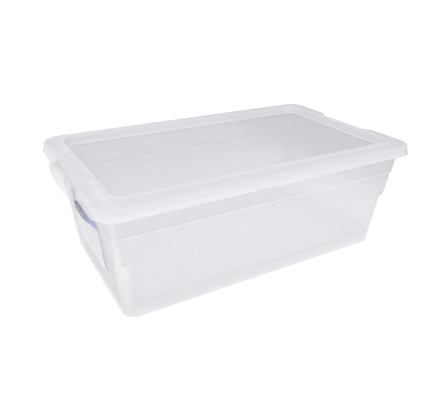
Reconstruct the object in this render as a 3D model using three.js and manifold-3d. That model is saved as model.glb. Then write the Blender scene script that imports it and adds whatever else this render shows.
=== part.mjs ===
// A clear plastic storage box: a drafted tub, a snap-on lid with a recessed panel, and a paper label
// on one short end. The lid's rim is notched at both short ends, where the tub's rim turns out into a
// curled grip lip. Millimetres, +Z up, origin at the bottom centre, the long side along X.
import * as THREE from 'three';
import { mergeVertices } from 'three/addons/utils/BufferGeometryUtils.js';
import Module from 'manifold-3d';

const wasm = await Module();
wasm.setup();

// ---- driving dimensions -------------------------------------------------------------------------
const HEIGHT = 124; // floor to the crest of the lid's rim
const LID_LENGTH = 346; // over the lid's skirt
const LID_WIDTH = 210;
const GRIP_LENGTH = 356; // over the two grip lips
const TUB_WALL = 1.6;
const LID_WALL = 1.6;
const ARC_STEPS = 3; // half the number of straight pieces in a rounded plan corner

// tub
const BASE_HALF_X = 149.5; // half sizes of the outer wall at the floor
const BASE_HALF_Y = 81.5;
const DRAFT_X = 0.08; // outward slope of the end walls and of the long walls
const DRAFT_Y = 0.1;
const LOWER_CORNER = 13; // plan corner radius below the ledge
const UPPER_CORNER = 6; // plan corner radius above it
const LEDGE_Z = 61.5; // corner ledges, where the radius changes
const RIDGE_Z = 88.6; // small step all round the wall
const RIDGE_STEP = 0.9;
const STEP_RISE = 0.8; // height over which a ledge or ridge steps out
const BASE_FILLET = 3.5;
const PANEL_RISE = 1.5; // the middle of the floor stands this far above the foot ring
const FOOT_WIDTH = 21; // width of the foot ring round it

// tub rim and grips
const RIM_TOP = 120.8;
const RIM_INSET = 5.2; // from the lid's outside to the tub flange's outer edge
const BEAD_BOTTOM = 114;
const GRIP_HALF_WIDTH = 43;
const GRIP_TOP = 115.8;
const GRIP_BOTTOM = 107;
const GRIP_BULGE = 2; // how far the lip's outer edge bows out in plan
const GRIP_CORNER = 6;
const RIM_DIP_HALF_WIDTH = 46.2; // stretch where the tub's rim is lowered under the lid's notch

// lid
const LID_CORNER = 20.6; // plan corner radius at the skirt
const SKIRT_BOTTOM = 112;
const RECESS_HALF_X = 152; // edge of the recess at the crest of the rim
const RECESS_HALF_Y = 85.4;
const RECESS_CORNER = 14;
const PANEL_TOP = 116;
const NOTCH_HALF_WIDTH = 44;
const NOTCH_X = 158; // outer face of the bead that is left between recess and notch
const NOTCH_LEDGE_X = 168;
const NOTCH_LEDGE_TOP = 117.9;
const GATE_RADIUS = 2.6; // moulding mark at the middle of the panel
const GATE_HEIGHT = 0.5;

// label
const LABEL_WIDTH = 86;
const LABEL_BOTTOM = 30;
const LABEL_TOP = 87;
const LABEL_THICKNESS = 0.3;
const LABEL_CORNER = 3;
const LABEL_GAP = 0.3; // clearance to the wall that it is stuck on

// ---- helpers ------------------------------------------------------------------------------------
// A closed BufferGeometry as a solid that can be joined and cut.
function toSolid(geometry) {
  const bare = geometry.clone();
  bare.deleteAttribute('normal');
  bare.deleteAttribute('uv');
  const merged = mergeVertices(bare, 1e-4);
  return new wasm.Manifold(new wasm.Mesh({
    numProp: 3,
    vertProperties: Float32Array.from(merged.attributes.position.array),
    triVerts: Uint32Array.from(merged.index.array),
  }));
}

function toGeometry(solid) {
  const { vertProperties, triVerts } = solid.getMesh();
  const geometry = new THREE.BufferGeometry();
  geometry.setAttribute('position', new THREE.BufferAttribute(Float32Array.from(vertProperties), 3));
  geometry.setIndex(new THREE.BufferAttribute(Uint32Array.from(triVerts), 1));
  geometry.computeVertexNormals();
  return geometry;
}

function namedMesh(name, geometry, material) {
  const mesh = new THREE.Mesh(geometry, material);
  mesh.name = name;
  return mesh;
}

// An axis-aligned block between two corners.
function block(low, high) {
  const size = high.map((value, axis) => value - low[axis]);
  const geometry = new THREE.BoxGeometry(...size);
  geometry.translate(...high.map((value, axis) => (value + low[axis]) / 2));
  return toSolid(geometry);
}

// The plan outline of a rounded rectangle centred on the axis, anticlockwise from above.
function roundedOutline(halfX, halfY, radius) {
  const quarter = Math.PI / 2;
  const x = halfX - radius;
  const y = halfY - radius;
  const shape = new THREE.Shape();
  shape.absarc(x, y, radius, 0, quarter);
  shape.absarc(-x, y, radius, quarter, 2 * quarter);
  shape.absarc(-x, -y, radius, 2 * quarter, 3 * quarter);
  shape.absarc(x, -y, radius, 3 * quarter, 4 * quarter);
  return shape.getPoints(ARC_STEPS);
}

// Joins a stack of equal-length plan outlines, each at its own height, and caps both ends. The rings
// run from the underside outwards, up, over and back in, so that the faces point out.
function loft(rings) {
  const count = rings[0].outline.length;
  const positions = [];
  const indices = [];
  for (const { outline, z } of rings) {
    for (const point of outline) positions.push(point.x, point.y, z);
  }
  for (let ring = 0; ring < rings.length - 1; ring += 1) {
    for (let step = 0; step < count; step += 1) {
      const next = (step + 1) % count;
      const a = ring * count + step;
      const b = ring * count + next;
      indices.push(a, b, b + count, a, b + count, a + count);
    }
  }
  addCap(positions, indices, rings[0], 0, false);
  addCap(positions, indices, rings[rings.length - 1], (rings.length - 1) * count, true);
  const geometry = new THREE.BufferGeometry();
  geometry.setAttribute('position', new THREE.Float32BufferAttribute(positions, 3));
  geometry.setIndex(indices);
  return geometry;
}

function addCap(positions, indices, ring, first, facesUp) {
  const count = ring.outline.length;
  const centre = positions.length / 3;
  const middle = new THREE.Box2().setFromPoints(ring.outline).getCenter(new THREE.Vector2());
  positions.push(middle.x, middle.y, ring.z);
  for (let step = 0; step < count; step += 1) {
    const a = first + step;
    const b = first + ((step + 1) % count);
    indices.push(centre, facesUp ? a : b, facesUp ? b : a);
  }
}

// ---- materials ----------------------------------------------------------------------------------
function frostedPlastic(color, opacity) {
  return new THREE.MeshStandardMaterial({
    color, roughness: 0.42, metalness: 0, transparent: true, opacity,
  });
}

function printedPaper() {
  return new THREE.MeshStandardMaterial({ color: 0xdfe3ee, roughness: 0.55, metalness: 0 });
}

// ---- tub ----------------------------------------------------------------------------------------
// One ring of the drafted wall at height z, moved out by offset.
function wallRing(z, offset, corner) {
  const halfX = BASE_HALF_X + DRAFT_X * z + offset;
  const halfY = BASE_HALF_Y + DRAFT_Y * z + offset;
  return { outline: roundedOutline(halfX, halfY, corner), z };
}

// One ring of the rim flange, inset from the lid's outside.
function flangeRing(z, inset) {
  const outline = roundedOutline(LID_LENGTH / 2 - inset, LID_WIDTH / 2 - inset, LID_CORNER - inset);
  return { outline, z };
}

// One ring round the raised middle of the floor.
function floorPanelRing(z, inset) {
  const halfX = BASE_HALF_X - FOOT_WIDTH - inset;
  const halfY = BASE_HALF_Y - FOOT_WIDTH - inset;
  return { outline: roundedOutline(halfX, halfY, LOWER_CORNER - inset), z };
}

// The drafted wall with its corner ledges and its ridge, offset from the outer face, from bottom to top.
function wallRings(offset, startZ) {
  return [
    wallRing(startZ, offset, LOWER_CORNER + offset),
    wallRing(LEDGE_Z, offset, LOWER_CORNER + offset),
    wallRing(LEDGE_Z + STEP_RISE, offset, UPPER_CORNER + offset),
    wallRing(RIDGE_Z, offset, UPPER_CORNER + offset),
    wallRing(RIDGE_Z + STEP_RISE, offset + RIDGE_STEP, UPPER_CORNER + offset + RIDGE_STEP),
  ];
}

// A rounded bottom edge from the flat foot to the wall; offset is 0 outside and negative inside.
function baseEdgeRings(floorZ, offset) {
  const corner = LOWER_CORNER + offset;
  return [1, 0.3].map((share) => {
    const inset = BASE_FILLET * share;
    const z = floorZ + (share === 1 ? 0 : inset);
    return wallRing(z, offset - inset, corner - inset);
  });
}

function tubShell() {
  const rimOffset = RIDGE_STEP;
  const rimCorner = UPPER_CORNER + RIDGE_STEP;
  const outside = [
    floorPanelRing(PANEL_RISE, PANEL_RISE),
    floorPanelRing(0, 0),
    ...baseEdgeRings(0, 0),
    ...wallRings(0, BASE_FILLET),
  ];
  const flange = [
    wallRing(RIM_TOP - TUB_WALL, rimOffset, rimCorner),
    flangeRing(RIM_TOP - TUB_WALL - 1.2, RIM_INSET + TUB_WALL),
    flangeRing(BEAD_BOTTOM, RIM_INSET + TUB_WALL),
    flangeRing(BEAD_BOTTOM, RIM_INSET),
    flangeRing(RIM_TOP - 2.8, RIM_INSET),
    flangeRing(RIM_TOP - 1.2, RIM_INSET + 1.3),
    flangeRing(RIM_TOP, RIM_INSET + 4.5),
    wallRing(RIM_TOP, rimOffset - TUB_WALL, rimCorner - TUB_WALL),
  ];
  const inside = [
    ...wallRings(-TUB_WALL, TUB_WALL + BASE_FILLET).reverse(),
    ...baseEdgeRings(TUB_WALL, -TUB_WALL).reverse(),
    floorPanelRing(TUB_WALL, 0),
    floorPanelRing(TUB_WALL + PANEL_RISE, PANEL_RISE),
  ];
  return toSolid(loft([...outside, ...flange, ...inside]));
}

// A hood on the +X end: from innerX out to reach, halfWidth to each side, with a bowed outer edge.
function hoodOutline(innerX, reach, halfWidth) {
  const edge = reach - GRIP_BULGE;
  const shape = new THREE.Shape();
  shape.moveTo(innerX, -halfWidth);
  shape.lineTo(edge - GRIP_CORNER, -halfWidth);
  shape.quadraticCurveTo(edge, -halfWidth, edge, -halfWidth + GRIP_CORNER);
  shape.quadraticCurveTo(reach + GRIP_BULGE, 0, edge, halfWidth - GRIP_CORNER);
  shape.quadraticCurveTo(edge, halfWidth, edge - GRIP_CORNER, halfWidth);
  shape.lineTo(innerX, halfWidth);
  return shape.getPoints(4);
}

// The hood's outside, or, with an inset, the hollow for the fingers under it.
function hood(innerX, inset, bottom) {
  const edgeSteps = [
    [0, bottom],
    [0.3, GRIP_TOP - 6 - inset],
    [2.3, GRIP_TOP - 2.3 - inset],
    [5.2, GRIP_TOP - 0.6 - inset],
    [8.5, GRIP_TOP - inset],
  ];
  return toSolid(loft(edgeSteps.map(([step, z]) => ({
    outline: hoodOutline(innerX, GRIP_LENGTH / 2 - inset - step, GRIP_HALF_WIDTH - inset - step / 2),
    z,
  }))));
}

function gripLip() {
  const wallFace = BASE_HALF_X + DRAFT_X * GRIP_TOP + RIDGE_STEP;
  const outside = hood(wallFace - TUB_WALL * 0.75, 0, GRIP_BOTTOM);
  const fingerSpace = hood(wallFace + 0.1, TUB_WALL, GRIP_BOTTOM - 5);
  return outside.subtract(fingerSpace);
}

// The piece of the rim flange that makes way for the grip and the lid's notch.
function rimDip() {
  const wallFace = BASE_HALF_X + DRAFT_X * GRIP_TOP + RIDGE_STEP;
  const flangeCut = block(
    [wallFace, -RIM_DIP_HALF_WIDTH, BEAD_BOTTOM - 1],
    [LID_LENGTH / 2, RIM_DIP_HALF_WIDTH, HEIGHT],
  );
  const wallCut = block(
    [wallFace - 4 * TUB_WALL, -RIM_DIP_HALF_WIDTH, GRIP_TOP],
    [LID_LENGTH / 2, RIM_DIP_HALF_WIDTH, HEIGHT],
  );
  return flangeCut.add(wallCut);
}

function makeTub() {
  const halfTurn = [0, 0, 180];
  const cut = rimDip();
  const grip = gripLip();
  const solid = tubShell()
    .subtract(cut)
    .subtract(cut.rotate(halfTurn))
    .add(grip)
    .add(grip.rotate(halfTurn));
  return namedMesh('tub', toGeometry(solid), frostedPlastic(0xdedfe3, 0.6));
}

// ---- lid ----------------------------------------------------------------------------------------
// Rings measured in from the skirt, and rings measured out from the edge of the recess.
function skirtRing(z, inset) {
  return flangeRing(z, inset);
}

function recessRing(z, offset) {
  const halfX = RECESS_HALF_X + offset;
  const halfY = RECESS_HALF_Y + offset;
  return { outline: roundedOutline(halfX, halfY, RECESS_CORNER + offset), z };
}

// The outer face of the rim, from the bottom of the skirt up to its crest.
function rimOuterRings() {
  return [
    skirtRing(SKIRT_BOTTOM, 0),
    skirtRing(HEIGHT - 8.5, 1.4),
    skirtRing(HEIGHT - 5.7, 1.9),
    skirtRing(HEIGHT - 2.8, 3.6),
    skirtRing(HEIGHT - 1.2, 8),
    recessRing(HEIGHT, 2.6),
  ];
}

function lidShell() {
  const underside = [
    recessRing(PANEL_TOP - LID_WALL, 0.6),
    recessRing(HEIGHT - 2.2, LID_WALL + 0.4),
    recessRing(HEIGHT - 1.7, LID_WALL + 1.6),
    skirtRing(HEIGHT - 2.8, 8.8),
    skirtRing(HEIGHT - 4.2, 5),
    skirtRing(HEIGHT - 6.2, 3.5),
    skirtRing(HEIGHT - 8.5, 3),
    skirtRing(SKIRT_BOTTOM, LID_WALL),
  ];
  const recess = [
    recessRing(HEIGHT, 0.8),
    recessRing(HEIGHT - 0.7, 0),
    recessRing(PANEL_TOP + 1.2, -1),
    recessRing(PANEL_TOP, -2.4),
  ];
  return toSolid(loft([...underside, ...rimOuterRings(), ...recess]));
}

// The open space of the notch at the +X end, above its ledge and beyond it.
function notchSpace() {
  const above = block(
    [NOTCH_X, -NOTCH_HALF_WIDTH, NOTCH_LEDGE_TOP],
    [GRIP_LENGTH / 2, NOTCH_HALF_WIDTH, HEIGHT + 1],
  );
  const beyond = block(
    [NOTCH_LEDGE_X, -NOTCH_HALF_WIDTH, SKIRT_BOTTOM - 1],
    [GRIP_LENGTH / 2, NOTCH_HALF_WIDTH, HEIGHT + 1],
  );
  return above.add(beyond);
}

// The walls and ledge that close the rim round the notch.
function notchLining() {
  const halfWidth = NOTCH_HALF_WIDTH + LID_WALL;
  const filled = block(
    [NOTCH_X - LID_WALL, -halfWidth, NOTCH_LEDGE_TOP - LID_WALL],
    [LID_LENGTH / 2, halfWidth, HEIGHT - 1.5],
  );
  const rimEnvelope = toSolid(loft(rimOuterRings()));
  return filled.intersect(rimEnvelope);
}

function gateMark() {
  const profile = [
    new THREE.Vector2(0, -LID_WALL / 2),
    new THREE.Vector2(GATE_RADIUS, -LID_WALL / 2),
    new THREE.Vector2(GATE_RADIUS, GATE_HEIGHT / 2),
    new THREE.Vector2(GATE_RADIUS - GATE_HEIGHT, GATE_HEIGHT),
    new THREE.Vector2(0, GATE_HEIGHT),
  ];
  const geometry = new THREE.LatheGeometry(profile, 24);
  geometry.rotateX(Math.PI / 2);
  geometry.translate(0, 0, PANEL_TOP);
  return toSolid(geometry);
}

function makeLid() {
  const halfTurn = [0, 0, 180];
  const lining = notchLining();
  const notch = notchSpace();
  const solid = lidShell()
    .add(lining)
    .add(lining.rotate(halfTurn))
    .subtract(notch)
    .subtract(notch.rotate(halfTurn))
    .add(gateMark());
  return namedMesh('lid', toGeometry(solid), frostedPlastic(0xe6e7ec, 0.6));
}

// ---- label --------------------------------------------------------------------------------------
// A thin plate with rounded corners, tilted to lie along the drafted end wall.
function makeLabel() {
  const height = LABEL_TOP - LABEL_BOTTOM;
  const outline = new THREE.Shape(roundedOutline(LABEL_WIDTH / 2, height / 2, LABEL_CORNER));
  const geometry = new THREE.ExtrudeGeometry(outline, { depth: LABEL_THICKNESS, bevelEnabled: false });
  const mesh = namedMesh('end_label', geometry, printedPaper());
  const middleZ = (LABEL_TOP + LABEL_BOTTOM) / 2;
  // the plate's own Y runs up the wall, and its Z points out of the -X end
  const up = new THREE.Vector3(-DRAFT_X, 0, 1).normalize();
  const across = new THREE.Vector3(0, -1, 0);
  const out = new THREE.Vector3().crossVectors(across, up);
  mesh.quaternion.setFromRotationMatrix(new THREE.Matrix4().makeBasis(across, up, out));
  mesh.position.set(-(BASE_HALF_X + DRAFT_X * middleZ), 0, middleZ).addScaledVector(out, LABEL_GAP);
  return mesh;
}

const group = new THREE.Group();
group.add(makeTub(), makeLid(), makeLabel());

export default group;
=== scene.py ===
"""A translucent storage box: its tub, its push-fit lid and the label on one short end.

Lengths are in millimetres until the last step of each mesh, which scales them to metres. The tub and the
lid are each one closed shell: the rings of a profile, down one face and up the other, are swept round the
plan, and the stretch at each short end is blended into the grip or the notch.
"""

import math

import bpy
import numpy as np
from mathutils import Matrix, Vector


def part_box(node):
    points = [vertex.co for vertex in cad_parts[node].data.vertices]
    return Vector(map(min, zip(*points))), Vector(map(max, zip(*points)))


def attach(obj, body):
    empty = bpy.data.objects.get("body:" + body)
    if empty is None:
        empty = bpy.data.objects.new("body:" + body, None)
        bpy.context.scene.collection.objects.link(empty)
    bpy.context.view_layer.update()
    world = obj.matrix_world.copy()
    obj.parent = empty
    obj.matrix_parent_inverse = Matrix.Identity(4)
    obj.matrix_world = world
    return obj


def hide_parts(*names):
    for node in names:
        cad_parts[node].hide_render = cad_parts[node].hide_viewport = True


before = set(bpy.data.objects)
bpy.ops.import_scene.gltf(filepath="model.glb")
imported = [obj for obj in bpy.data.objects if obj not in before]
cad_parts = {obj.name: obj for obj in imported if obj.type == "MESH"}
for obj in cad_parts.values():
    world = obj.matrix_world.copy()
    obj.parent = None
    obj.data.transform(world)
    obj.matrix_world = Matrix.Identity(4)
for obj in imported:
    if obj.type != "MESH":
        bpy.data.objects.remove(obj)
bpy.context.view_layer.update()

MM = 0.001

# ---- driving dimensions, from the frame -------------------------------------------------------------
lid_low, lid_high = (np.array(corner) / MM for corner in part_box("lid"))
tub_low, tub_high = (np.array(corner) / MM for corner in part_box("tub"))
label_low, label_high = (np.array(corner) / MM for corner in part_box("end_label"))

TOP = lid_high[2]  # crest of the lid's rim
SKIRT_BOTTOM = lid_low[2]
LID_HALF = (lid_high[0], lid_high[1])
GRIP_REACH = tub_high[0]
RIM_TOP = tub_high[2]
WALL = 1.6

# plan corner radii
LID_CORNER = 20.6
RECESS_CORNER = 14.0
LOWER_CORNER = 13.0
UPPER_CORNER = 6.0

# tub wall: half sizes at the floor, and outward slope
BASE_HALF = (151.0, 82.0)
DRAFT = (0.085, 0.092)
LEDGE_Z = 61.5
RIDGE_Z = 88.6
RIDGE_STEP = 0.9
STEP_RISE = 0.6
FOOT_WIDTH = 21.0
PANEL_RISE = 1.5

# tub rim and grip lip
BEAD_BOTTOM = 114.0
BEAD_INSET = 5.2
GRIP_TOP = 115.8
GRIP_BOTTOM = 107.8
GRIP_BOW = 2.0

# lid
RECESS_HALF = (152.0, 84.5)
PANEL_Z = 116.0
PANEL_SAG = 0.3
NOTCH_X = 158.2
NOTCH_LEDGE_Z = 118.0
NOTCH_LEDGE_X = 169.0
NOTCH_FLARE = 2.4

LINE_MILK = 1.0
CREST_MILK = 0.75
RIM_MILK = 0.6
FOOT_MILK = 0.5
FOOT_BAND = (13.0, 17.0)  # the whiter band at the foot of the wall fades out between these heights
FOOT_BAND_MILK = 0.3
CORNER_MILK_REACH = 147.0  # only rings that reach further out than this are whiter round their corners
TUB_CORNER_MILK = 0.5
LID_CORNER_MILK = 0.2

# where each change of a short end is complete, and where it has faded out, from the middle of that end
GRIP_SPAN = (39.4, 42.6)
DIP_SPAN = (44.8, 47.8)
NOTCH_SPAN = (37.2, 40.4)
UNDER_SHIFT = 1.3  # the underside's spans differ by this much, so that the wall keeps its thickness

# the lip's bow: it grows from nothing at LIP_START over LIP_GROWTH
LIP_START = 166.0
LIP_GROWTH = 8.0

# the notch's flare: none at FLARE_X, all of it FLARE_GROWTH further out, a little inwards before it;
# across the end it rises from FLARE_RISE_Y over FLARE_RISE and has faded out by FLARE_FADE_Y
FLARE_X = 163.0
FLARE_GROWTH = 9.0
FLARE_INWARD = -0.6
FLARE_RISE_Y = 26.0
FLARE_RISE = 12.0
FLARE_FADE_Y = 66.0
FLARE_FADE = 18.0
FLARE_LEAST_X = 150.0


# ---- sweeping a profile round the plan --------------------------------------------------------------
CORNER_STEPS = 14
SIDE_STEPS = 26
MOST_BEND = 0.3  # a bend's largest share of the distance to the next ring
MILK_FADE = 1.6  # a milky line has faded out this many bend lengths away
END_REACH = 54.0  # the changed stretch of a short end lies within this distance of its middle


class Ring:
    """One bend of a moulding's profile: a rounded rectangle at a height, and what it becomes at the ends.

    bend is the length that the rounding takes up either side, in steps pieces. at_end gives the reach, the
    height and the bend that the ring has in the changed stretch of a short end, and x_span and z_span say
    where that is. milk and corner_milk say how white the bend is all round, and in the plan corners."""

    def __init__(self, half, corner, z, bend, steps=3, at_end=None, x_span=None, z_span=None, milk=0.0,
                 corner_milk=0.0):
        self.half = half
        self.corner = corner
        self.z = z
        self.bend = bend
        self.steps = steps
        self.milk = milk
        self.corner_milk = corner_milk
        self.end_x, self.end_z, self.end_bend = at_end or (half[0], z, bend)
        self.x_span = x_span
        self.z_span = z_span or x_span


def smooth(value):
    value = min(max(value, 0.0), 1.0)
    return value * value * (3.0 - 2.0 * value)


def share_inside(y, span):
    """1 within span[0] of the middle, 0 beyond span[1], and smooth between."""
    return smooth((span[1] - abs(y)) / (span[1] - span[0])) if span else 0.0


def end_distances():
    """Distances across a short end, close together where the notch and the grip begin."""
    half = np.concatenate([np.linspace(0, 32, 9), np.linspace(35, END_REACH, 39)])
    return np.concatenate([-half[:0:-1], half])


def ring_stations(ring):
    """The ring's points round the plan, anticlockwise from the +X end, and the bend length at each."""
    half_x, half_y = ring.half
    points, bends = [], []
    for quadrant in range(4):
        sx, sy = ((1, 1), (-1, 1), (-1, -1), (1, -1))[quadrant]
        if quadrant % 2 == 0:
            for y in end_distances():
                fit = min(1.0, (half_y - ring.corner) / END_REACH)
                to_x, to_z = share_inside(y, ring.x_span), share_inside(y, ring.z_span)
                reach = half_x + (ring.end_x - half_x) * to_x
                height = ring.z + (ring.end_z - ring.z) * to_z
                points.append((sx * reach, sx * y * fit, height))
                bends.append(ring.bend + (ring.end_bend - ring.bend) * to_z)
        else:
            for share in np.linspace(1, -1, SIDE_STEPS)[1:-1]:
                points.append((-sx * share * (half_x - ring.corner), sy * half_y, ring.z))
                bends.append(ring.bend)
        for turn in np.linspace(quadrant, quadrant + 1, CORNER_STEPS) * math.pi / 2:
            x = sx * (half_x - ring.corner) + ring.corner * math.cos(turn)
            y = sy * (half_y - ring.corner) + ring.corner * math.sin(turn)
            points.append((x, y, ring.z))
            bends.append(ring.bend)
    return np.array(points), np.array(bends)


def swept_rings(profile):
    """Every ring of the profile with its bends rounded off, as an array (ring, station, xyz), and how milky
    the plastic is at each ring: all the way round, and in the corners."""
    stations = [ring_stations(ring) for ring in profile]
    rings, milk = [stations[0][0]], [(profile[0].milk, 0.0)]
    for index in range(1, len(profile) - 1):
        here, bend = stations[index]
        to_before = stations[index - 1][0] - here
        to_after = stations[index + 1][0] - here
        legs = []
        for leg in (to_before, to_after):
            length = np.maximum(np.linalg.norm(leg, axis=1), 1e-6)
            legs.append(leg * np.minimum(MOST_BEND, bend / length)[:, None])
        line = profile[index].milk
        if line == LINE_MILK:
            rings.append(here + legs[0] * MILK_FADE)
            milk.append((profile[index - 1].milk, 0.0))
        for t in np.linspace(0, 1, profile[index].steps + 1):
            rings.append(here + (1 - t) ** 2 * legs[0] + t * t * legs[1])
            milk.append((line, profile[index].corner_milk))
        if line == LINE_MILK:
            rings.append(here + legs[1] * MILK_FADE)
            milk.append((profile[index + 1].milk, 0.0))
    rings.append(stations[-1][0])
    milk.append((profile[-1].milk, 0.0))
    return np.array(rings), np.array(milk)


def corner_shares():
    """1 in the middle of each plan corner, falling to 0 where the corner meets the straight sides."""
    arc = np.sin(np.linspace(0, math.pi, CORNER_STEPS))
    end, side = np.zeros(len(end_distances())), np.zeros(SIDE_STEPS - 2)
    return np.concatenate([end, arc, side, arc, end, arc, side, arc])


def moulding(name, rings, milk, corner_milk):
    """A closed mesh over the rings, with the first and the last ring filled.

    Its "milk" attribute says where the plastic is whiter: along bends and round the corners."""
    ring_count, station_count = rings.shape[:2]
    faces = [tuple(reversed(range(station_count)))]
    for ring in range(ring_count - 1):
        for station in range(station_count):
            a = ring * station_count + station
            b = ring * station_count + (station + 1) % station_count
            faces.append((a, b, b + station_count, a + station_count))
    faces.append(tuple(range((ring_count - 1) * station_count, ring_count * station_count)))
    mesh = bpy.data.meshes.new(name)
    mesh.from_pydata([tuple(p) for p in rings.reshape(-1, 3) * MM], [], faces)
    upright = np.ptp(rings[..., 0], axis=1) > 2 * CORNER_MILK_REACH
    whiteness = np.repeat(milk[:, :1], station_count, axis=1)
    if corner_milk:
        in_corners = np.maximum(milk[:, 1], corner_milk * upright)
        whiteness = np.maximum(whiteness, in_corners[:, None] * corner_shares()[None, :])
    attribute = mesh.attributes.new("milk", "FLOAT", "POINT")
    attribute.data.foreach_set("value", whiteness.ravel())
    for polygon in mesh.polygons:
        polygon.use_smooth = True
    obj = bpy.data.objects.new(name, mesh)
    bpy.context.scene.collection.objects.link(obj)
    return obj


def shifted(span, distance):
    return span[0] + distance, span[1] + distance


# ---- tub --------------------------------------------------------------------------------------------
def wall_half(z, offset=0.0):
    return BASE_HALF[0] + DRAFT[0] * z + offset, BASE_HALF[1] + DRAFT[1] * z + offset


def rim_half(inset):
    return LID_HALF[0] - inset, LID_HALF[1] - inset


def floor_half(inset):
    return BASE_HALF[0] - FOOT_WIDTH - inset, BASE_HALF[1] - FOOT_WIDTH - inset


def tub_outside():
    """The floor's underside, the wall's outside and the underside of the rim and the grip lip."""
    out = dict(x_span=shifted(GRIP_SPAN, -UNDER_SHIFT), z_span=shifted(DIP_SPAN, UNDER_SHIFT))
    under = GRIP_TOP - WALL
    reach = GRIP_REACH - WALL
    bead = BEAD_INSET + WALL
    step_corner = UPPER_CORNER + RIDGE_STEP
    step_top = RIDGE_Z + STEP_RISE
    return [
        Ring(floor_half(3.0), LOWER_CORNER - 3.0, PANEL_RISE, 0),
        Ring(floor_half(1.5), LOWER_CORNER - 1.5, PANEL_RISE, 1.0),
        Ring(floor_half(0), LOWER_CORNER, 0, 1.0, milk=FOOT_MILK),
        Ring(wall_half(0), LOWER_CORNER, 0, 3.5, 6, milk=FOOT_MILK),
        Ring(wall_half(FOOT_BAND[0]), LOWER_CORNER, FOOT_BAND[0], 0.5, 1, milk=FOOT_BAND_MILK),
        Ring(wall_half(FOOT_BAND[1]), LOWER_CORNER, FOOT_BAND[1], 0.5, 1),
        Ring(wall_half(LEDGE_Z), LOWER_CORNER, LEDGE_Z, 0.6, corner_milk=LINE_MILK),
        Ring(wall_half(LEDGE_Z + STEP_RISE), UPPER_CORNER, LEDGE_Z + STEP_RISE, 0.6, corner_milk=LINE_MILK),
        Ring(wall_half(RIDGE_Z), UPPER_CORNER, RIDGE_Z, 0.4, milk=LINE_MILK),
        Ring(wall_half(step_top, RIDGE_STEP), step_corner, step_top, 0.4, milk=LINE_MILK),
        Ring(wall_half(RIM_TOP, RIDGE_STEP), step_corner, RIM_TOP - WALL, 1.6, 4,
             at_end=(wall_half(under, RIDGE_STEP)[0], under, 1.6), **out),
        Ring(rim_half(bead), LID_CORNER - bead, RIM_TOP - WALL, 1.4, 6, at_end=(reach, under, 3.6), **out),
        Ring(rim_half(bead), LID_CORNER - bead, BEAD_BOTTOM, 0.5, 3, at_end=(reach, GRIP_BOTTOM, 0.5), **out),
    ]


def tub_inside():
    """The top of the grip lip and the rim, the wall's inside and the floor's top."""
    out = dict(x_span=GRIP_SPAN, z_span=DIP_SPAN)
    step = RIDGE_STEP - WALL
    return [
        Ring(rim_half(BEAD_INSET), LID_CORNER - BEAD_INSET, BEAD_BOTTOM, 0.5, 3,
             at_end=(GRIP_REACH, GRIP_BOTTOM, 0.5), **out),
        Ring(rim_half(BEAD_INSET), LID_CORNER - BEAD_INSET, RIM_TOP, 2.4, 6,
             at_end=(GRIP_REACH, GRIP_TOP, 4.6), **out),
        Ring(wall_half(RIM_TOP, step), UPPER_CORNER + step, RIM_TOP, 2.6, 4,
             at_end=(wall_half(GRIP_TOP, step)[0], GRIP_TOP, 2.6), **out),
        Ring(wall_half(RIDGE_Z + 1.2, step), UPPER_CORNER + step, RIDGE_Z + 1.2, 0.4),
        Ring(wall_half(RIDGE_Z + 0.6, -WALL), UPPER_CORNER - WALL, RIDGE_Z + 0.6, 0.4),
        Ring(wall_half(LEDGE_Z + 2.2, -WALL), UPPER_CORNER - WALL, LEDGE_Z + 2.2, 0.6),
        Ring(wall_half(LEDGE_Z + WALL, -WALL), LOWER_CORNER - WALL, LEDGE_Z + WALL, 0.6),
        Ring(wall_half(FOOT_BAND[1], -WALL), LOWER_CORNER - WALL, FOOT_BAND[1], 0.5, 1),
        Ring(wall_half(FOOT_BAND[0], -WALL), LOWER_CORNER - WALL, FOOT_BAND[0], 0.5, 1, milk=FOOT_BAND_MILK),
        Ring(wall_half(WALL, -WALL), LOWER_CORNER - WALL, WALL, 3.0, 6, milk=FOOT_MILK),
        Ring(floor_half(0.4), LOWER_CORNER - 0.4, WALL, 1.0, milk=FOOT_MILK),
        Ring(floor_half(1.9), LOWER_CORNER - 1.9, PANEL_RISE + WALL, 1.0),
        Ring(floor_half(3.4), LOWER_CORNER - 3.4, PANEL_RISE + WALL, 0),
    ]


def make_tub():
    rings, milk = swept_rings(tub_outside() + tub_inside())
    # the lip bows out towards its middle
    past_wall = np.clip((np.abs(rings[..., 0]) - LIP_START) / LIP_GROWTH, 0, 1)
    bow = GRIP_BOW * (rings[..., 1] / GRIP_SPAN[1]) ** 2 * past_wall
    rings[..., 0] -= np.sign(rings[..., 0]) * np.where(np.abs(rings[..., 1]) < GRIP_SPAN[1], bow, 0)
    return moulding("tub_moulding", rings, milk, TUB_CORNER_MILK)


# ---- lid --------------------------------------------------------------------------------------------
def recess_half(offset):
    return RECESS_HALF[0] + offset, RECESS_HALF[1] + offset


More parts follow.
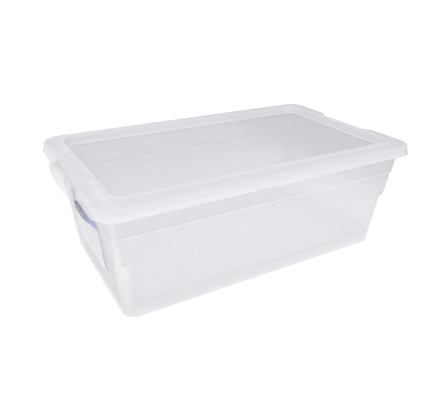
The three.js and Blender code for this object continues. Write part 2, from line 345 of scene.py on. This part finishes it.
def lid_underside():
    out = dict(x_span=shifted(NOTCH_SPAN, UNDER_SHIFT))
    under = NOTCH_LEDGE_Z - WALL
    return [
        Ring(recess_half(-60.0), 1.0, PANEL_Z - WALL - PANEL_SAG, 0),
        Ring(recess_half(-30.0), 4.0, PANEL_Z - WALL - PANEL_SAG / 2, 12),
        Ring(recess_half(-7.4), RECESS_CORNER - 6.0, PANEL_Z - WALL, 3),
        Ring(recess_half(0.4), RECESS_CORNER + 0.4, PANEL_Z - WALL, 2.2, 5),
        Ring(recess_half(1.6), RECESS_CORNER + 1.6, TOP - WALL, 0.5, 3,
             at_end=(153.6, TOP - WALL, 0.5), **out),
        Ring(rim_half(9.5), LID_CORNER - 9.5, TOP - WALL - 1.4, 1.5, 3,
             at_end=(NOTCH_X - WALL - 0.3, TOP - WALL, 0.5), **out),
        Ring(rim_half(4.2), LID_CORNER - 4.2, TOP - WALL - 2.2, 2.6, 5,
             at_end=(NOTCH_X - WALL + 0.6, under, 0.8), **out),
        Ring(rim_half(3.5), LID_CORNER - 3.5, 118.3, 2.0, 3, at_end=(NOTCH_LEDGE_X - 4, under, 0.5), **out),
        Ring(rim_half(2.8), LID_CORNER - 2.8, 115.3, 2.0, 3, at_end=(NOTCH_LEDGE_X - 2, under, 0.5), **out),
        Ring(rim_half(WALL), LID_CORNER - WALL, SKIRT_BOTTOM, 0.5, 3,
             at_end=(NOTCH_LEDGE_X - 0.4, under, 0.3), **out),
    ]


def lid_top():
    out = dict(x_span=NOTCH_SPAN, milk=RIM_MILK)
    return [
        Ring(rim_half(0), LID_CORNER, SKIRT_BOTTOM, 0.5, 3,
             at_end=(NOTCH_LEDGE_X, NOTCH_LEDGE_Z - 1.2, 0.4), **out),
        Ring(rim_half(1.4), LID_CORNER - 1.4, 115.5, 1.6, 4,
             at_end=(NOTCH_LEDGE_X, NOTCH_LEDGE_Z - 0.3, 0.5), **out),
        Ring(rim_half(1.9), LID_CORNER - 1.9, 118.3, 1.4, 3,
             at_end=(NOTCH_LEDGE_X - 2, NOTCH_LEDGE_Z, 0.5), **out),
        Ring(rim_half(2.7), LID_CORNER - 2.7, 122.0, 4.5, 8,
             at_end=(NOTCH_X + 1, NOTCH_LEDGE_Z + 0.1, 1.0), **out),
        Ring(rim_half(8.5), LID_CORNER - 8.5, TOP - 1.1, 3.0, 5, at_end=(NOTCH_X, TOP, 1.2), **out),
        Ring(recess_half(2.2), RECESS_CORNER + 2.2, TOP, 1.0, milk=CREST_MILK),
        Ring(recess_half(0.4), RECESS_CORNER + 0.4, TOP, 1.0, 4, milk=CREST_MILK),
        Ring(recess_half(-1.2), RECESS_CORNER - 1.2, PANEL_Z, 1.8, 5, milk=RIM_MILK),
        Ring(recess_half(-7.4), RECESS_CORNER - 6.0, PANEL_Z, 3),
        Ring(recess_half(-30.0), 4.0, PANEL_Z - PANEL_SAG / 2, 12),
        Ring(recess_half(-60.0), 1.0, PANEL_Z - PANEL_SAG, 0),
    ]


def make_lid():
    rings, milk = swept_rings(lid_underside() + lid_top())
    # each notch widens towards the outside, so its end walls curve round into the skirt
    x, y = np.abs(rings[..., 0]), np.abs(rings[..., 1])
    outward = np.clip((x - FLARE_X) / FLARE_GROWTH, FLARE_INWARD, 1)
    rising = np.clip((y - FLARE_RISE_Y) / FLARE_RISE, 0, 1)
    fading = np.clip((FLARE_FADE_Y - y) / FLARE_FADE, 0, 1)
    flare = NOTCH_FLARE * outward * (rising * fading) * (x > FLARE_LEAST_X)
    rings[..., 1] += np.sign(rings[..., 1]) * flare
    return moulding("lid_moulding", rings, milk, LID_CORNER_MILK)


GATE_RADIUS = 2.6
GATE_HEIGHT = 0.5
GATE_SINK = 0.1  # the mark starts this far inside the panel
GATE_EDGE = 0.4
GATE_CROWN = 0.1
GATE_STEPS = 24


def make_gate_mark():
    """The small raised disk that moulding leaves in the middle of the panel."""
    bottom = PANEL_Z - PANEL_SAG - GATE_SINK
    rings = []
    top = bottom + GATE_HEIGHT
    for radius, z in ((GATE_RADIUS, bottom), (GATE_RADIUS, top), (GATE_RADIUS - GATE_EDGE, top + GATE_CROWN)):
        turns = np.linspace(0, 2 * math.pi, GATE_STEPS, endpoint=False)
        heights = np.full(GATE_STEPS, z)
        rings.append(np.stack([radius * np.cos(turns), radius * np.sin(turns), heights], axis=1))
    return moulding("gate_mark", np.array(rings), np.ones((len(rings), 1)), 0.0)


# ---- label ------------------------------------------------------------------------------------------
LABEL_CORNER = 3.0
LABEL_LIFT = 0.06
LABEL_THICKNESS = 0.15


def make_label():
    """A thin film that follows the slope of the end wall, with rounded corners."""
    half = (label_high[1] - label_low[1]) / 2
    bottom, top = label_low[2], label_high[2]
    outline = []
    for cy, cz, start in ((half, top, 0), (-half, top, 90), (-half, bottom, 180), (half, bottom, 270)):
        y0 = cy - math.copysign(LABEL_CORNER, cy)
        z0 = cz - LABEL_CORNER if cz == top else cz + LABEL_CORNER
        for degrees in range(start, start + 91, 15):
            turn = math.radians(degrees)
            outline.append((y0 + LABEL_CORNER * math.cos(turn), z0 + LABEL_CORNER * math.sin(turn)))
    vertices = []
    for y, z in outline:
        x = -(BASE_HALF[0] + DRAFT[0] * z + LABEL_LIFT + LABEL_THICKNESS)
        vertices.append((x * MM, y * MM, z * MM))
    mesh = bpy.data.meshes.new("label_film")
    mesh.from_pydata(vertices, [], [tuple(reversed(range(len(vertices))))])
    label = bpy.data.objects.new("label_film", mesh)
    bpy.context.scene.collection.objects.link(label)
    solid = label.modifiers.new("film", "SOLIDIFY")
    solid.thickness = LABEL_THICKNESS * MM
    return label


# ---- materials --------------------------------------------------------------------------------------
class Shading:
    """A material with one Principled shader, and short ways to add the nodes that feed it."""

    def __init__(self, name):
        self.material = bpy.data.materials.new(name)
        self.material.use_nodes = True
        self.tree = self.material.node_tree
        self.tree.nodes.clear()
        self.output = self.tree.nodes.new("ShaderNodeOutputMaterial")
        self.shader = self.tree.nodes.new("ShaderNodeBsdfPrincipled")
        self.place = self.tree.nodes.new("ShaderNodeTexCoord").outputs["Object"]

    def node(self, kind, settings=None, **inputs):
        made = self.tree.nodes.new(kind)
        for key, value in (settings or {}).items():
            setattr(made, key, value)
        for key, value in inputs.items():
            socket = made.inputs[int(key[1:])] if key[0] == "i" and key[1:].isdigit() else made.inputs[key]
            if isinstance(value, bpy.types.NodeSocket):
                self.tree.links.new(value, socket)
            else:
                socket.default_value = value
        return made

    def math(self, operation, first, second=0.0, clamp=False):
        settings = {"operation": operation, "use_clamp": clamp}
        return self.node("ShaderNodeMath", settings, i0=first, i1=second).outputs[0]

    def noise(self, scale, detail=2.0, stretch=(1, 1, 1), distortion=0.0):
        place = self.node("ShaderNodeMapping", Vector=self.place, Scale=stretch).outputs[0]
        inputs = {"Vector": place, "Scale": scale, "Detail": detail, "Distortion": distortion}
        return self.node("ShaderNodeTexNoise", **inputs).outputs["Fac"]

    def between(self, value, low, high, to_low=0.0, to_high=1.0):
        inputs = {"Value": value, "From Min": low, "From Max": high, "To Min": to_low, "To Max": to_high}
        made = self.node("ShaderNodeMapRange", {"interpolation_type": "SMOOTHSTEP"}, **inputs)
        return made.outputs["Result"]

    def blend(self, share, first, second):
        """A colour between first and second."""
        colours = [(*c, 1) if isinstance(c, tuple) and len(c) == 3 else c for c in (first, second)]
        made = self.node("ShaderNodeMix", {"data_type": "RGBA"}, i0=share, i6=colours[0], i7=colours[1])
        return made.outputs[2]

    def feed(self, name, value):
        self.tree.links.new(value, self.shader.inputs[name])

    def bump(self, height, distance, strength=1.0):
        made = self.node("ShaderNodeBump", Height=height, Distance=distance, Strength=strength)
        self.feed("Normal", made.outputs["Normal"])

    def finish(self, surface=None):
        self.tree.links.new(surface or self.shader.outputs["BSDF"], self.output.inputs["Surface"])
        return self.material


# each plastic: tint of its own surface, tint of what is seen through one face, roughness,
# and how much of a face is milky where it is clearest and where it is whitest
TUB_TINT = (0.88, 0.88, 0.885)
TUB_THROUGH = (0.945, 0.95, 0.96)
TUB_ROUGHNESS = 0.3
TUB_COVER = (0.3, 0.6)
TUB_GRAIN = 0.00002
LID_TINT = (0.84, 0.84, 0.86)
LID_THROUGH = (0.94, 0.943, 0.955)
LID_ROUGHNESS = 0.35
LID_COVER = (0.27, 0.75)
LID_GRAIN = 0.00005
SCUFF_ROUGHNESS = 0.05  # how much rougher the scuffed patches are
FLOW_ROUGHNESS = 0.08  # range of roughness along the plastic's flow marks
FLOW_COVER = 0.008  # and how much the milky share varies with them


def frosted_plastic(name, tint, through, roughness, cover, grain):
    """Translucent moulded plastic: part of each face scatters like milk, and the rest lets light pass."""
    shading = Shading(name)
    shader = shading.shader
    flow = shading.noise(9.0, 1.0, stretch=(0.35, 1.0, 1.6), distortion=0.2)
    speckle = shading.noise(2600.0, 1.0)
    scuffs = shading.between(shading.noise(55.0, 3.0, stretch=(1.0, 0.3, 1.0)), 0.45, 0.85)
    shader.inputs["IOR"].default_value = 1.49
    shading.feed("Base Color", shading.blend(flow, tint, tuple(0.97 * c for c in tint)))
    worn = shading.math("MULTIPLY_ADD", scuffs, SCUFF_ROUGHNESS)
    worn.node.inputs[2].default_value = roughness - FLOW_ROUGHNESS / 2
    shading.feed("Roughness", shading.math("ADD", worn, shading.between(flow, 0.3, 0.7, 0.0, FLOW_ROUGHNESS)))
    shading.bump(speckle, grain)
    milk = shading.node("ShaderNodeAttribute", {"attribute_name": "milk"}).outputs["Fac"]
    share = shading.between(milk, 0.0, 1.0, cover[0], cover[1])
    share = shading.math("ADD", share, shading.between(flow, 0.2, 0.8, -FLOW_COVER, FLOW_COVER))
    clear = shading.node("ShaderNodeBsdfTransparent", Color=(*through, 1))
    mix = shading.node("ShaderNodeMixShader", i0=share, i1=clear.outputs[0], i2=shader.outputs["BSDF"])
    return shading.finish(mix.outputs[0])


LABEL_HEADER = (0.03, 0.035, 0.10)
LABEL_HEADER_LIGHT = (0.22, 0.28, 0.52)
LABEL_PALE = (0.66, 0.67, 0.69)
LABEL_GREY = (0.36, 0.38, 0.44)
LABEL_STREAK = (0.72, 0.75, 0.84)
HEADER_Z = 0.0615  # lower edge of the header, where it is level
HEADER_RISE = 0.014  # and how much higher it is at the -Y side
HEADER_LINE = 0.005  # height of the thin light line above that edge


def label_print(name):
    """Satin printed film: a blue header whose lower edge curves up, over a pale field with faint swirls."""
    shading = Shading(name)
    place = shading.node("ShaderNodeSeparateXYZ", Vector=shading.place)
    y, z = place.outputs["Y"], place.outputs["Z"]
    rise = shading.between(y, -0.045, 0.022, HEADER_RISE, 0.0)
    edge = shading.math("SUBTRACT", z, rise)
    header = shading.between(edge, HEADER_Z - 0.0004, HEADER_Z + 0.0004)
    above_edge = shading.math("ABSOLUTE", shading.math("SUBTRACT", edge, HEADER_Z + HEADER_LINE))
    streak = shading.between(above_edge, 0.0005, 0.0011, 1, 0)
    streak = shading.math("MULTIPLY", streak, shading.between(y, 0.0, 0.012))
    tone = shading.between(y, -0.04, 0.03, 1.0, 0.0)
    mottle = shading.between(shading.noise(120.0, 3.0), 0.35, 0.7, -0.15, 0.15)
    blue = shading.blend(shading.math("ADD", tone, mottle, clamp=True), LABEL_HEADER, LABEL_HEADER_LIGHT)
    blue = shading.blend(shading.math("MULTIPLY", streak, 0.7), blue, LABEL_STREAK)
    swirl = shading.noise(95.0, 1.0, stretch=(1, 1, 0.7), distortion=2.2)
    line = shading.between(shading.math("ABSOLUTE", shading.math("SUBTRACT", swirl, 0.5)), 0.01, 0.03, 1, 0)
    inside = shading.between(shading.math("ABSOLUTE", y), 0.036, 0.039, 1, 0)
    line = shading.math("MULTIPLY", shading.math("MULTIPLY", line, inside), shading.between(z, 0.036, 0.039))
    field = shading.blend(shading.math("MULTIPLY", line, 0.75), LABEL_PALE, LABEL_GREY)
    shading.feed("Base Color", shading.blend(header, field, blue))
    shading.feed("Roughness", shading.between(shading.noise(400.0), 0.3, 0.7, 0.32, 0.42))
    shading.bump(shading.noise(900.0), 0.00002)
    shading.shader.inputs["IOR"].default_value = 1.5
    return shading.finish()


def dress(obj, material):
    obj.data.materials.clear()
    obj.data.materials.append(material)


# ---- stage ------------------------------------------------------------------------------------------
FLOOR_WHITE = 1.05  # strength of what the camera sees directly, of the floor and of the world
FLOOR_GLOW = 0.55
PAINTED_SHADOW_X = (0.19, 0.34)  # painted shadow of the box on the floor, seen through the plastic: the floor's glow is full up to the first x, and gone at the second
PAINTED_SHADOW_Y = (0.14, 0.32)  # painted shadow behind the box: the glow is full up to the first y, and down to GLOW_LEAST of it at the second
GLOW_LEAST = 0.5
FLOOR_ALBEDO = 0.6
FLOOR_HALF = 12.0
FLOOR_DROP = 0.0002
WORLD_STRENGTH = 1.13
WORLD_DIM_SIDE = 0.45


def seen_directly(nodes, links):
    """1 for what the camera sees with nothing in front, 0 for what is seen through plastic or lights it."""
    path = nodes.new("ShaderNodeLightPath")
    bare = nodes.new("ShaderNodeMath")
    bare.operation = "LESS_THAN"
    bare.inputs[1].default_value = 0.5
    links.new(path.outputs["Transparent Depth"], bare.inputs[0])
    both = nodes.new("ShaderNodeMath")
    both.operation = "MULTIPLY"
    links.new(path.outputs["Is Camera Ray"], both.inputs[0])
    links.new(bare.outputs[0], both.inputs[1])
    return both.outputs[0]


def make_floor():
    """A pale floor, burnt out to white wherever the camera sees it directly, as in a catalogue picture. Seen
    through the plastic it glows, with a painted shadow of the box: the glow fades to the right and behind.
    """
    mesh = bpy.data.meshes.new("floor")
    corners = [(-1, -1), (1, -1), (1, 1), (-1, 1)]
    mesh.from_pydata([(x * FLOOR_HALF, y * FLOOR_HALF, 0) for x, y in corners], [], [(0, 1, 2, 3)])
    floor = bpy.data.objects.new("floor", mesh)
    floor.location.z = -FLOOR_DROP
    bpy.context.scene.collection.objects.link(floor)
    shading = Shading("pale_floor")
    shader = shading.shader
    shader.inputs["Base Color"].default_value = (FLOOR_ALBEDO, FLOOR_ALBEDO, FLOOR_ALBEDO, 1)
    shader.inputs["Roughness"].default_value = 0.9
    shader.inputs["Specular IOR Level"].default_value = 0.0
    shader.inputs["Emission Color"].default_value = (1, 1, 1, 1)
    place = shading.node("ShaderNodeSeparateXYZ", Vector=shading.place)
    # painted shadow: the glow dims to the right of the box and behind it, so the floor seen through the
    # plastic is shaded there
    glow_shaded_right = shading.between(place.outputs["X"], *PAINTED_SHADOW_X, FLOOR_GLOW, 0.0)
    shade_behind = shading.between(place.outputs["Y"], *PAINTED_SHADOW_Y, 1.0, GLOW_LEAST)
    shading.feed("Emission Strength", shading.math("MULTIPLY", glow_shaded_right, shade_behind))
    white = shading.node("ShaderNodeEmission", Strength=FLOOR_WHITE)
    share = seen_directly(shading.tree.nodes, shading.tree.links)
    mix = shading.node("ShaderNodeMixShader", i0=share, i1=shader.outputs["BSDF"], i2=white.outputs[0])
    mesh.materials.append(shading.finish(mix.outputs[0]))


def make_world():
    """Soft white light from all round, dimmer from the right; the camera sees it as pure white."""
    world = bpy.data.worlds.new("studio")
    world.use_nodes = True
    nodes, links = world.node_tree.nodes, world.node_tree.links
    nodes["Background"].inputs["Color"].default_value = (1, 1, 1, 1)
    direction = nodes.new("ShaderNodeSeparateXYZ")
    links.new(nodes.new("ShaderNodeTexCoord").outputs["Generated"], direction.inputs[0])
    side = nodes.new("ShaderNodeMapRange")
    side.inputs["From Min"].default_value = -1.0
    side.inputs["To Min"].default_value = WORLD_STRENGTH
    side.inputs["To Max"].default_value = WORLD_STRENGTH * WORLD_DIM_SIDE
    links.new(direction.outputs["X"], side.inputs["Value"])
    strength = nodes.new("ShaderNodeMix")
    links.new(seen_directly(nodes, links), strength.inputs["Factor"])
    links.new(side.outputs["Result"], strength.inputs["A"])
    strength.inputs["B"].default_value = FLOOR_WHITE
    links.new(strength.outputs["Result"], nodes["Background"].inputs["Strength"])
    bpy.context.scene.world = world


def area_light(name, place, aim, size, power):
    data = bpy.data.lights.new(name, "AREA")
    data.shape = "DISK"
    data.size = size
    data.energy = power
    light = bpy.data.objects.new(name, data)
    light.location = place
    light.rotation_euler = (Vector(aim) - Vector(place)).to_track_quat("-Z", "Y").to_euler()
    bpy.context.scene.collection.objects.link(light)


KEY_POWER = 4.0
KEY_PLACE = (-0.25, -0.3, 1.3)
FILL_POWER = 3.2
FILL_PLACE = (0.25, -1.2, 0.55)


def make_lights():
    area_light("key", KEY_PLACE, (0, 0, 0.06), 0.9, KEY_POWER)
    area_light("fill", FILL_PLACE, (0, 0, 0.06), 0.9, FILL_POWER)


CAMERA_PLACE = (-0.24597, -0.41048, 0.27904)
CAMERA_TURN = -30.66  # degrees from looking along +Y
CAMERA_TILT = 26.285  # degrees down from level
CAMERA_ROLL = 0.941
CAMERA_LENS = 37.70  # for a 36 mm wide sensor


def make_camera():
    turn, tilt, roll = (math.radians(a) for a in (CAMERA_TURN, CAMERA_TILT, CAMERA_ROLL))
    back = Vector((math.sin(turn) * math.cos(tilt), -math.cos(turn) * math.cos(tilt), math.sin(tilt)))
    right = Vector((0, 0, 1)).cross(back).normalized()
    up = back.cross(right)
    right, up = right * math.cos(roll) + up * math.sin(roll), up * math.cos(roll) - right * math.sin(roll)
    data = bpy.data.cameras.new("camera")
    data.lens = CAMERA_LENS
    data.sensor_width = 36
    data.clip_start = 0.01
    camera = bpy.data.objects.new("camera", data)
    camera.matrix_world = Matrix.Translation(CAMERA_PLACE) @ Matrix((right, up, back)).transposed().to_4x4()
    bpy.context.scene.collection.objects.link(camera)
    bpy.context.scene.camera = camera


def set_view():
    scene = bpy.context.scene
    scene.view_settings.view_transform = "Standard"
    scene.cycles.use_denoising = True
    scene.cycles.max_bounces = 16
    scene.cycles.transmission_bounces = 14
    scene.cycles.transparent_max_bounces = 40


# ---- assembly ---------------------------------------------------------------------------------------
make_camera()
tub = make_tub()
lid = make_lid()
gate_mark = make_gate_mark()
label = make_label()
dress(tub, frosted_plastic("tub_plastic", TUB_TINT, TUB_THROUGH, TUB_ROUGHNESS, TUB_COVER, TUB_GRAIN))
lid_material = frosted_plastic("lid_plastic", LID_TINT, LID_THROUGH, LID_ROUGHNESS, LID_COVER, LID_GRAIN)
dress(lid, lid_material)
dress(gate_mark, lid_material)
dress(label, label_print("label_print"))
for piece, body, node, slot in (
    (tub, "tub", "tub", "tub_plastic"),
    (lid, "lid", "lid", "lid_plastic"),
    (gate_mark, "lid", None, "lid_plastic"),
    (label, "tub", "end_label", "label_print"),
):
    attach(piece, body)
    if node:
        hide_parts(node)
make_floor()
make_world()
make_lights()
set_view()
